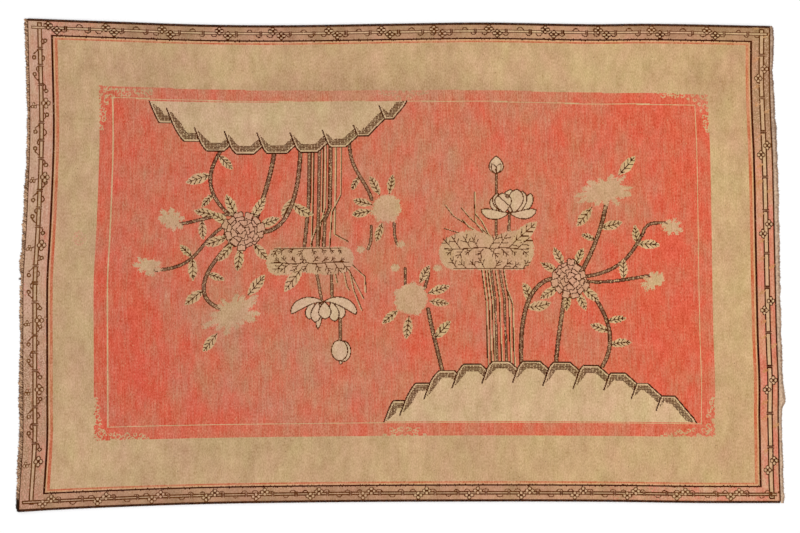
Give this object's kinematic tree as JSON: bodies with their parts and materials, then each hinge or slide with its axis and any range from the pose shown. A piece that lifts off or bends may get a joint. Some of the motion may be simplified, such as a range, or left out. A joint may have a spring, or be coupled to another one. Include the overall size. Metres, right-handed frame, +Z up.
{
  "type": "khotan rug",
  "caption": "Flat hand-knotted room rug with a coral garden field, tan border and bamboo guard band, dark overcast long sides and short frayed ends; it lies on a floor.",
  "frame": {"origin": "on the floor, under the middle of the rug's outer box", "axes": "+X along the length, +Y across the width, +Z up through the pile"},
  "size_m": [3.0808, 1.969, 0.006],
  "materials": {
    "pile_wool": "worn cut wool pile in coral, tan, pink and brown",
    "selvedge_wool": "dark purple-brown wool overcasting",
    "web_left": "worn brown and tan woven web with frayed warp ends",
    "web_right": "grey-tan cotton web with frayed warp ends"
  },
  "bodies": {
    "root": {"rug_body": "pile_wool", "selvedge_upper": "selvedge_wool", "selvedge_lower": "selvedge_wool", "end_fringe_left": "web_left", "end_fringe_right": "web_right"}
  },
  "joints": []
}
